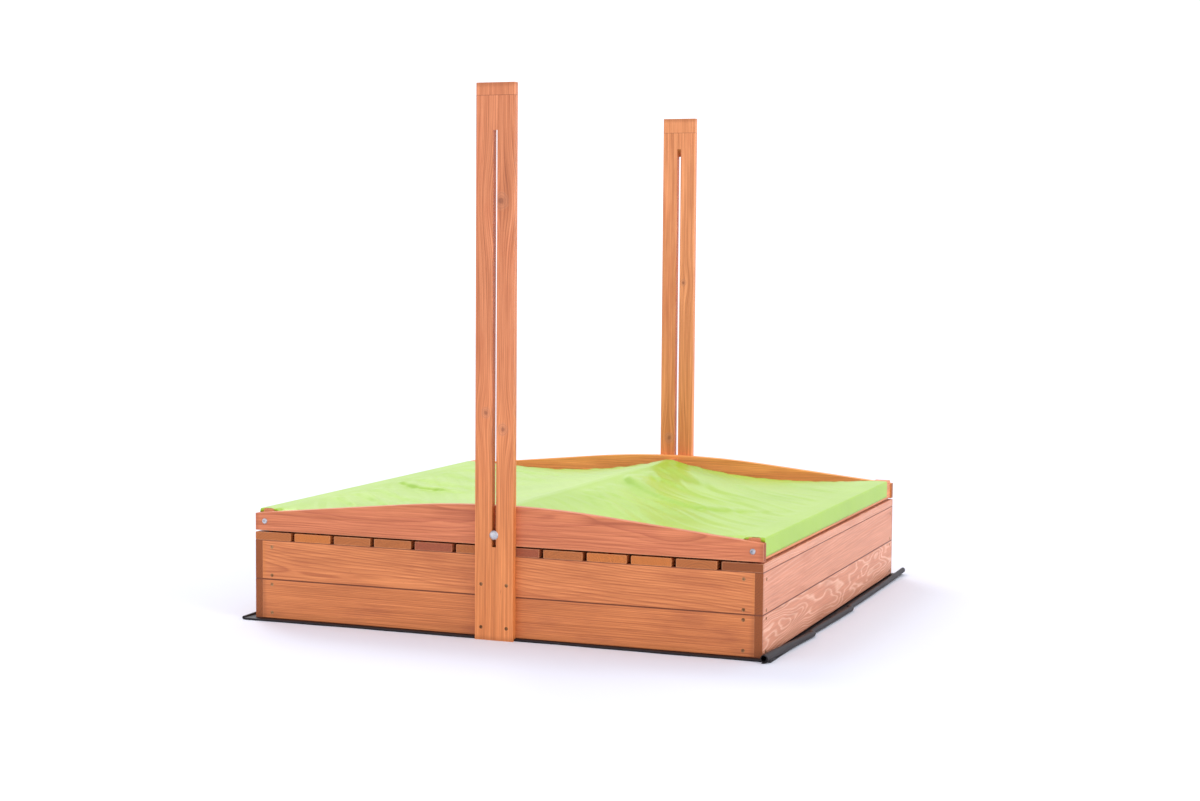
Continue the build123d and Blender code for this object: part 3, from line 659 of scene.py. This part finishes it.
# Folds pulled slantwise across the cloth. Each is a run of (x, y) points, how high it stands
# above the cloth and how wide it is in millimetres, and how sharp its far side is.
FOLDS = [
    ([(-0.020, 0.215), (0.047, 0.073), (0.184, -0.105), (0.285, -0.172), (0.363, -0.181),
      (0.486, -0.161), (0.575, -0.125)], 9.9, 30, 0.75),
    ([(0.005, 0.310), (0.060, 0.200), (0.140, 0.139), (0.261, 0.015), (0.353, -0.079),
      (0.470, -0.120)], 6.1, 26, 0.5),
    ([(0.010, 0.460), (0.070, 0.348), (0.203, 0.191), (0.333, 0.026), (0.447, -0.109),
      (0.560, -0.190)], 7.2, 34, 0.5),
    ([(0.010, 0.010), (0.070, -0.110), (0.145, -0.226), (0.302, -0.439), (0.400, -0.520)],
     4.7, 24, 0.4),
    ([(0.010, -0.140), (0.147, -0.362), (0.272, -0.506), (0.330, -0.560)], 4.3, 22, 0.4),
    ([(0.010, -0.060), (0.110, -0.250), (0.230, -0.430), (0.340, -0.540)], 3.6, 16, 0.4),
    ([(0.020, 0.110), (0.120, -0.060), (0.250, -0.250), (0.400, -0.380), (0.540, -0.420)],
     5.4, 26, 0.4),
    ([(0.230, 0.330), (0.380, 0.160), (0.560, 0.020)], 4.0, 30, 0.4),
    ([(0.330, 0.470), (0.440, 0.330), (0.560, 0.210)], 3.6, 26, 0.4),
    ([(-0.557, 0.000), (-0.534, -0.013), (-0.478, -0.058), (-0.435, -0.085), (-0.379, -0.093),
      (-0.260, -0.150)], 7.6, 18, 0.8),
    ([(-0.557, -0.140), (-0.436, -0.252), (-0.334, -0.333), (-0.180, -0.430)], 5.8, 22, 0.5),
    ([(-0.557, 0.095), (-0.413, 0.007), (-0.303, -0.050), (-0.160, -0.140)], 5.8, 26, 0.5),
    ([(-0.557, -0.228), (-0.472, -0.312), (-0.369, -0.409), (-0.270, -0.500)], 6.1, 22, 0.5),
    ([(-0.557, 0.250), (-0.465, 0.179), (-0.380, 0.118), (-0.200, 0.010)], 5.4, 26, 0.5),
    ([(-0.557, 0.400), (-0.430, 0.300), (-0.250, 0.170), (-0.080, 0.060)], 4.7, 28, 0.5),
    ([(-0.557, -0.330), (-0.480, -0.400), (-0.380, -0.500)], 4.7, 18, 0.5),
    ([(-0.500, 0.500), (-0.330, 0.380), (-0.140, 0.260)], 4.0, 26, 0.5),
]
RUN_SPACING = 4 * MM
FOLD_REACH = 6.0           # how far a fold lifts the cloth, in fold widths
FOLD_CHUNK = 4000          # how many places are measured at a time

# The way that the ripples and folds cross the cloth: to the rear and right.
SLANT_X = 0.78
SLANT_Y = 0.62
RIPPLE = 1.0 * MM
RIPPLE_WAVES = (0.046, 0.027)
LEAN_STEP = 3 * MM
LEAN_BLEND = 40 * MM
SAG = 17.0 * MM
REAR_SAG = 6.5 * MM        # and this much more from here to the rear edge
REAR_SAG_START = 0.15
FREE_START = (-4 * MM, 42 * MM)    # from the ridge bar's edge: none, and all, of the folds
FREE_END = (-45 * MM, -4 * MM)     # from the landing on a crossbar: all, and none
WOOD_WAVE = 0.25 * MM      # unevenness where the cloth lies on wood
STAPLE_SPACING = 0.21
BILLOW = 0.45 * MM

# How the foremost rows of the cloth lie over the side board: distance from the edge, and
# shares of the way out and of the way down.
FRONT_ROWS = [(0.0, 1.0, 1.0), (0.1 * MM, 0.97, 0.45), (0.5 * MM, 0.90, 0.12),
              (1.2 * MM, 0.62, 0.0)]
FRONT_PULL = 2.3 * MM
FRONT_PULL_OVER_BAR = 3.6 * MM
FRONT_DROOP = 5.5 * MM
FRONT_DROOP_DEPTH = 26 * MM
PLEAT_START = (6 * MM, 10 * MM)    # from a crossbar's inner face
PLEAT_END = (-11 * MM, -7 * MM)    # from its outer face


def smooth_run(points):
    """Points close together on a Catmull-Rom curve through a run of points."""
    p = np.array(points, dtype=float)
    p = np.vstack([2 * p[0] - p[1], p, 2 * p[-1] - p[-2]])
    out = []
    for a, b, c, d in zip(p[:-3], p[1:-2], p[2:-1], p[3:]):
        t = np.linspace(0, 1, max(2, int(np.linalg.norm(c - b) / RUN_SPACING)))[:-1, None]
        out.append(0.5 * (2 * b + (c - a) * t + (2 * a - 5 * b + 4 * c - d) * t ** 2
                          + (3 * b - a - 3 * c + d) * t ** 3))
    out.append(p[-2][None])
    return np.vstack(out)


def fold_height(x, y):
    """How far the slanting folds lift the cloth at each place."""
    total = np.zeros(np.broadcast(x, y).shape)
    flat = np.stack([a.ravel() for a in np.broadcast_arrays(x, y)], axis=1)
    for points, height, width, sharpness in FOLDS:
        run = smooth_run(points)
        along = run_lengths(run)
        signed = np.full(len(flat), -1.0)
        share = np.zeros(len(flat))
        reach = FOLD_REACH * width * MM
        low = run.min(axis=0) - reach
        high = run.max(axis=0) + reach
        inside = np.nonzero(((flat > low) & (flat < high)).all(axis=1))[0]
        tangent = np.gradient(run, axis=0)
        tangent /= np.linalg.norm(tangent, axis=1)[:, None]
        for chunk in np.array_split(inside, max(1, len(inside) // FOLD_CHUNK)):
            away = flat[chunk, None, :] - run[None]
            distance = np.linalg.norm(away, axis=2)
            best = distance.argmin(axis=1)
            rows = np.arange(len(chunk))
            offset = away[rows, best]
            side = tangent[best, 0] * offset[:, 1] - tangent[best, 1] * offset[:, 0]
            signed[chunk] = np.sign(side) * distance[rows, best]
            share[chunk] = along[best] / along[-1]
        # behind the fold's line the cloth climbs quickly, then eases off over a long way
        s = signed / (width * MM)
        soft = 0.55 - 0.5 * sharpness
        climb = 0.5 * (s + np.sqrt(s ** 2 + soft ** 2))
        ridge = climb * np.exp(1.0 - climb) - 0.12 * np.exp(-((s + 0.9) / 0.8) ** 2)
        taper = smoothstep(0.0, 0.12, share) * (1.0 - smoothstep(0.55, 1.0, share))
        total += (height * MM * ridge * taper).reshape(total.shape)
    return total


def ripple_height(x, y):
    """Fine parallel ripples that run the same slanting way as the folds."""
    across = SLANT_X * x + SLANT_Y * y
    along = SLANT_Y * x - SLANT_X * y
    bend = 0.020 * np.sin(7.0 * along + 1.0) + 0.012 * np.sin(15.0 * along + 2.3 * across)
    turn = 2 * math.pi * (across + bend)
    ripple = np.sin(turn / RIPPLE_WAVES[0] + 1.4 * np.sin(5.0 * along))
    ripple += 0.6 * np.sin(turn / RIPPLE_WAVES[1] + 2.0 * np.sin(4.0 * along + 1.0))
    patch = 0.5 + 0.5 * np.sin(6.1 * x + 2.2) * np.sin(5.3 * y - 0.7)
    return RIPPLE * ripple * (0.35 + 0.65 * patch)


def cloth_lean(points):
    """How steeply the folds and ripples climb, going to the rear and right."""
    x = points[:, :, 0]
    y = points[:, :, 1]
    height = {}
    for way in (-1, 1):
        place = (x + way * SLANT_X * LEAN_STEP, y + way * SLANT_Y * LEAN_STEP)
        height[way] = fold_height(*place) + 0.5 * ripple_height(*place)
    free = smoothstep(ridge_high.x, ridge_high.x + LEAN_BLEND, np.abs(x))
    free = free * (1.0 - smoothstep(bar_low.x - LEAN_BLEND, bar_low.x, np.abs(x)))
    return free * (height[1] - height[-1]) / (2 * LEAN_STEP)


def sag_height(x, y):
    """The cloth's hang below a straight line from the ridge bar to a crossbar."""
    t = np.clip((np.abs(x) - RIDGE_LEAVE) / (bar_low.x - RIDGE_LEAVE), 0.0, 1.0)
    rear = smoothstep(REAR_SAG_START, fabric_high.y, y)
    skew = 1.0 + 0.35 * rear * (0.5 - t)
    return (SAG + REAR_SAG * rear) * 4.0 * t * (1.0 - t) * skew


def fabric_section(y):
    """The cloth's middle surface at the rows y, as (rows, columns, 3)."""
    half = CLOTH / 2 + CLOTH_GAP
    ridge_z = ridge_high.z + half
    bar_z = bar_high.z + half
    outer = bar_high.x + half
    inner = bar_low.x + CLOTH_LANDING
    corner_x = outer - CLOTH_CORNER
    corner_z = bar_z - CLOTH_CORNER
    bottom = fabric_low.z

    # from one crossbar over the ridge bar to the other
    grid_x, grid_y = np.meshgrid(steps(-inner, inner, CLOTH_CELL), y)
    away = np.abs(grid_x)
    t = np.clip((away - RIDGE_LEAVE) / (inner - RIDGE_LEAVE), 0.0, 1.0)
    crown = CROWN * smoothstep(RIDGE_LEAVE - RIDGE_ROUNDING, RIDGE_LEAVE + RIDGE_ROUNDING, away)
    z = ridge_z + (bar_z - ridge_z) * t - crown * (1 - t) - sag_height(grid_x, grid_y)
    free = smoothstep(ridge_high.x + FREE_START[0], ridge_high.x + FREE_START[1], away)
    free = free * (1.0 - smoothstep(inner + FREE_END[0], inner + FREE_END[1], away))
    z += free * (fold_height(grid_x, grid_y) + ripple_height(grid_x, grid_y))
    z += WOOD_WAVE * np.sin(41.0 * grid_y + 3.0) * (1 - free)
    middle = np.stack([grid_x, grid_y, np.maximum(z, bottom)], axis=-1)

    # round a crossbar: over its top and down the outer face
    path = [(x, bar_z) for x in steps(inner + CLOTH_CELL, corner_x, CLOTH_CELL)]
    for angle in np.linspace(75, 0, 6):
        a = math.radians(angle)
        path.append((corner_x + CLOTH_CORNER * math.cos(a), corner_z + CLOTH_CORNER * math.sin(a)))
    path += [(outer, z) for z in steps(corner_z - CLOTH_CELL, bottom, CLOTH_CELL)]
    path = np.array(path)
    wrap = np.empty((len(y), len(path), 3))
    wrap[:, :, 0] = path[None, :, 0]
    wrap[:, :, 1] = y[:, None]
    wrap[:, :, 2] = path[None, :, 1]
    # the outer face is not quite flat: it billows slightly between its staples
    face = smoothstep(bottom + 6 * MM, bottom + 20 * MM, path[:, 1])
    face = face * (1 - smoothstep(bar_z - 12 * MM, bar_z - 2 * MM, path[:, 1]))
    face = face * (path[:, 0] > outer - 0.5 * MM)
    billow = 0.5 + 0.5 * np.sin(2 * math.pi * y / STAPLE_SPACING + 0.8 * np.sin(9.0 * y))
    wrap[:, :, 0] += BILLOW * face[None, :] * billow[:, None]
    left = wrap[:, ::-1].copy()
    left[:, :, 0] *= -1
    return np.concatenate([left, middle, wrap], axis=1)


def lay_front_edge(points, front):
    """Lets the front edge droop to the canopy's side board.

    Over each crossbar it hangs in front of the bar's end, except where a pleat leaves the
    middle of that end bare.
    """
    x = np.abs(points[:, :, 0])
    over_bar = smoothstep(bar_low.x - 8 * MM, bar_low.x - 1 * MM, x)
    bare = smoothstep(bar_low.x + PLEAT_START[0], bar_low.x + PLEAT_START[1], x)
    bare = bare * (1.0 - smoothstep(bar_high.x + PLEAT_END[0], bar_high.x + PLEAT_END[1], x))
    cover = 1.0 - bare
    board_top = SIDE_END_TOP + SIDE_SLOPE * (side_half - np.minimum(x, side_half))
    rows = len(FRONT_ROWS)
    first = points[:rows].copy()
    on_top = first[:, :, 2] > board_top[:rows]
    pull = (FRONT_PULL * (1 - over_bar) + FRONT_PULL_OVER_BAR * over_bar) * cover
    for row, (_, out, down) in enumerate(FRONT_ROWS):
        drop = np.maximum(first[row, :, 2] - board_top[row] - 0.5 * MM, 0.0)
        drop = np.where(over_bar[row] > 0.5, drop, 0.0) * cover[row]
        points[row, :, 1] -= pull[row] * out
        points[row, :, 2] -= drop * down * on_top[row]
    droop = 1.0 - smoothstep(front, front + FRONT_DROOP_DEPTH, points[:, :, 1])
    points[:, :, 2] -= FRONT_DROOP * droop * (1 - over_bar)


def make_fabric():
    front = fabric_low.y
    rear = fabric_high.y
    y = np.concatenate([[front + back for back, _, _ in FRONT_ROWS],
                        steps(front + HEM_CELL, front + HEM_ZONE, HEM_CELL)[:-1],
                        steps(front + HEM_ZONE, rear - HEM_ZONE, CLOTH_CELL)[:-1],
                        steps(rear - HEM_ZONE, rear, HEM_CELL)])
    points = fabric_section(y)
    lay_front_edge(points, front)
    x = points[:, :, 0]
    # the rear edge is not quite straight
    wander = 1.6 * MM * np.sin(9.0 * x + 0.6) + 0.9 * MM * np.sin(23.0 * x)
    points[:, :, 1] += wander * smoothstep(rear - 0.10, rear, points[:, :, 1])
    # hems are double cloth
    doubled = 1.0 - smoothstep(HEM - 1 * MM, HEM + 1 * MM, points[:, :, 1] - front)
    doubled += smoothstep(rear - HEM - 1 * MM, rear - HEM + 1 * MM, points[:, :, 1])
    on_top = (np.abs(x) < bar_high.x - 3 * MM) & (points[:, :, 2] > fabric_low.z + 10 * MM)
    points[:, :, 2] += HEM_STEP * doubled * on_top
    lengths = run_lengths(points[len(y) // 2])
    cloth = grid_mesh("canopy_cloth", points, lengths, y)
    # the slope of the folds, kept for the cloth's painted shade and highlight
    lean = cloth.data.attributes.new("lean", "FLOAT", "POINT")
    lean.data.foreach_set("value", cloth_lean(points).astype(np.float32).ravel())
    cloth.data.materials.append(fabric_material())
    thicken(cloth, CLOTH)
    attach(cloth, "canopy")
    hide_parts("canopy_fabric")


make_fabric()

# ---- ground mat --------------------------------------------------------------------------

mat_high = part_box("ground_mat")[1]
MAT = 1.2 * MM
MAT_CELL = 12 * MM
MAT_HEM_TOP = 5.0 * MM      # top of the folded front and rear edges
MAT_HEM = 34 * MM
MAT_EDGE_ROOM = 2 * MM      # room for the front and rear edges to wander
MAT_RELIEF = 0.10 * MM
MAT_COLOURS = (rgb(14, 8, 9), rgb(20, 14, 16))
MAT_FUZZ = rgb(46, 38, 44)


def mat_material():
    """Black felted ground cloth with a greyish bloom."""
    g = Graph("ground_cloth")
    place = g.coordinates.outputs["Object"]
    fuzz = g.noise(place, scale=900.0, detail=3.0, roughness=0.7)
    cloud = g.noise(place, scale=14.0, detail=5.0)
    dimple = g.add("ShaderNodeTexVoronoi", {"Vector": place, "Scale": 420.0}).outputs[0]
    colour = g.mix(g.smooth(cloud, 0.3, 0.7), *MAT_COLOURS)
    colour = g.mix(g.smooth(fuzz, 0.35, 0.75, 0.0, 0.5), colour, MAT_FUZZ)
    rough = g.smooth(fuzz, 0.2, 0.8, 0.42, 0.60)
    relief = g.math("MULTIPLY_ADD", fuzz, 0.6, dimple)
    normal = g.bump(relief, MAT_RELIEF)
    return g.finish({"Base Color": colour, "Roughness": rough, "Normal": normal,
                     "Specular IOR Level": 0.32})


mat_look = mat_material()


def make_mat():
    """The flat cloth, folded back on itself along the front and rear edges."""
    half = mat_high.x
    x = steps(-half, half, MAT_CELL)
    floor_z = MAT / 2
    top = MAT_HEM_TOP - MAT / 2
    bend = (top - floor_z) / 2
    edge = mat_high.y - bend - MAT_EDGE_ROOM
    # (distance out beyond the bend's centre, height), from the hem's top round to the floor
    profile = [(-MAT_HEM, top), (-MAT_HEM / 2, top)]
    for angle in np.linspace(90, -90, 9):
        a = math.radians(angle)
        profile.append((bend * math.cos(a), floor_z + bend + bend * math.sin(a)))
    profile.append((-MAT_HEM / 2, floor_z))
    wander = 2.0 * MM * np.sin(5.0 * x + 1.0) + 1.4 * MM * np.sin(13.0 * x)
    wander += 0.8 * MM * np.sin(37.0 * x + 2.0)
    lift = 0.35 * MM * np.sin(29.0 * x) * np.sin(7.0 * x + 1.0)
    rows = []
    for out, z in profile:
        weight = 1.0 if out > -MAT_HEM / 4 else 0.0
        raised = lift * weight * (z > floor_z + 1 * MM)
        rows.append(np.stack([x, -(edge + out) + wander * weight, z + raised], axis=-1))
    for share in steps(-1.0, 1.0, 0.02):
        y = share * (edge - MAT_HEM)
        rows.append(np.stack([x, np.full_like(x, y), np.full_like(x, floor_z)], axis=-1))
    for out, z in reversed(profile):
        weight = 1.0 if out > -MAT_HEM / 4 else 0.0
        rows.append(np.stack([x, (edge + out) - wander * weight, np.full_like(x, z)], axis=-1))
    points = np.array(rows)
    lengths = run_lengths(points[:, len(x) // 2])
    mat = grid_mesh("ground_mat_cloth", points, x, lengths)
    mat.data.materials.append(mat_look)
    thicken(mat, MAT)
    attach(mat, "root")
    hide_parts("ground_mat")


ROLL_TURNS = 1.3
ROLL_START = 0.575          # where the cloth of a roll comes from, under the box
ROLL_CELL = 5 * MM
ROLL_CRINKLE = 0.7 * MM
ROLL_CLEAR = 0.2 * MM       # between it and the floor
ROLL_FLAT_POINTS = 14
ROLL_ROUND_POINTS = 66
BOX_WALL = 0.603            # the cloth only crinkles outside the box
BOX_ENDS = (0.596, 0.616)   # and beyond the box's ends it comes from beside the roll
BESIDE_ROLL = 5 * MM
RIGHT_ROLL_RISE = 4 * MM    # its rear end stands this far off the floor

# The middle of each roll, from front to rear: (y, x) and the roll's radius in millimetres.
RIGHT_ROLL = [(-0.626, 0.6105, 9.6), (-0.560, 0.6130, 9.6), (-0.450, 0.6195, 8.6),
              (-0.360, 0.6250, 7.8), (-0.303, 0.6290, 7.4), (-0.285, 0.6205, 6.6),
              (-0.180, 0.6240, 7.2), (-0.050, 0.6275, 7.4), (0.042, 0.6300, 7.2),
              (0.060, 0.6215, 6.4), (0.200, 0.6220, 7.0), (0.420, 0.6215, 7.4),
              (0.560, 0.6215, 7.4), (0.634, 0.6225, 7.4)]
LEFT_ROLL = [(-0.612, 0.6250, 4.6), (-0.560, 0.6215, 5.4), (-0.300, 0.6190, 7.0),
             (0.0, 0.6200, 8.0), (0.300, 0.6200, 8.0), (0.620, 0.6210, 8.2)]


def make_roll(name, side, run, node, rise):
    """The mat's side edge, brought out from under the box and rolled up on itself."""
    run_y, run_x, run_radius = np.array(run).T
    y = steps(run_y[0], run_y[-1], ROLL_CELL)
    centre = np.interp(y, run_y, run_x)
    radius = np.interp(y, run_y, run_radius) * MM - MAT / 2
    lifted = rise * smoothstep(0.45, 0.66, y)
    angles = np.linspace(-90.0, -90.0 + 360.0 * ROLL_TURNS, ROLL_ROUND_POINTS)
    rows = []
    for i, place in enumerate(y):
        middle_z = radius[i] + MAT / 2 + lifted[i]
        crinkle = ROLL_CRINKLE * math.sin(83 * place) * math.sin(31 * place + 1)
        past_box = smoothstep(*BOX_ENDS, abs(place))
        start = ROLL_START + (centre[i] - BESIDE_ROLL - ROLL_START) * past_box
        line = []
        for t in np.linspace(0.0, 1.0, ROLL_FLAT_POINTS)[:-1]:
            x = start + (centre[i] - start) * t
            buckle = crinkle * math.sin(math.pi * t) if x > BOX_WALL else 0.0
            line.append((x, MAT / 2 + lifted[i] * t * t + buckle + ROLL_CLEAR))
        for angle in angles:
            a = math.radians(angle)
            turn = (angle + 90.0) / 360.0
            r = radius[i] - turn * 2.0 * MAT
            dent = 1.0 + 0.05 * math.sin(3 * a + 17 * place) + 0.04 * math.sin(51 * place)
            upper_dent = 1.0 if math.sin(a) < 0 else dent
            line.append((centre[i] + r * dent * math.cos(a),
                         middle_z + r * math.sin(a) * upper_dent))
        rows.append([(side * x, place, max(z, MAT / 2)) for x, z in line])
    points = np.array(rows)
    lengths = run_lengths(points[len(y) // 2])
    roll = grid_mesh(name, points, lengths, y)
    roll.data.materials.append(mat_look)
    thicken(roll, MAT)
    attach(roll, "root")
    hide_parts(node)


make_mat()
make_roll("right_mat_edge", 1, RIGHT_ROLL, "right_mat_roll", RIGHT_ROLL_RISE)
make_roll("left_mat_edge", -1, LEFT_ROLL, "left_mat_roll", 0.0)

# ---- stage and light ---------------------------------------------------------------------

FLOOR_HALF = 14.0
FLOOR_COLOURS = ((0.700, 0.735, 0.790), (0.716, 0.751, 0.806))
WORLD_COLOUR = (0.985, 0.970, 1.05, 1.0)
WORLD_STRENGTH = 1.22

# toward, strength, spread in degrees, colour
SUNS = {
    "key": ((-0.60, 0.60, 0.70), 0.85, 25.0, (1.0, 0.985, 0.95)),
    "side": ((0.92, -0.30, 0.36), 0.85, 25.0, (1.0, 0.985, 0.96)),
}


def make_stage():
    size = FLOOR_HALF
    mesh = bpy.data.meshes.new("floor")
    mesh.from_pydata([(-size, -size, 0), (size, -size, 0), (size, size, 0), (-size, size, 0)],
                     [], [(0, 1, 2, 3)])
    floor = bpy.data.objects.new("floor", mesh)
    bpy.context.scene.collection.objects.link(floor)
    g = Graph("studio_floor")
    mottle = g.noise(g.coordinates.outputs["Object"], scale=3.0)
    colour = g.mix(mottle, *FLOOR_COLOURS)
    mesh.materials.append(g.finish({"Base Color": colour, "Roughness": 0.8}))


def sun(name, toward, strength, spread, colour):
    """A distant soft light that shines from the direction `toward`."""
    data = bpy.data.lights.new(name, "SUN")
    data.energy = strength
    data.angle = math.radians(spread)
    data.color = colour
    light = bpy.data.objects.new(name, data)
    light.rotation_euler = Vector(toward).to_track_quat("Z", "Y").to_euler()
    bpy.context.scene.collection.objects.link(light)


def make_light():
    world = bpy.data.worlds.new("studio")
    world.use_nodes = True
    background = world.node_tree.nodes["Background"]
    background.inputs["Color"].default_value = WORLD_COLOUR
    background.inputs["Strength"].default_value = WORLD_STRENGTH
    bpy.context.scene.world = world
    for name, values in SUNS.items():
        sun(name, *values)
    scene = bpy.context.scene
    scene.view_settings.view_transform = "Standard"
    scene.view_settings.look = "None"


make_stage()
make_light()
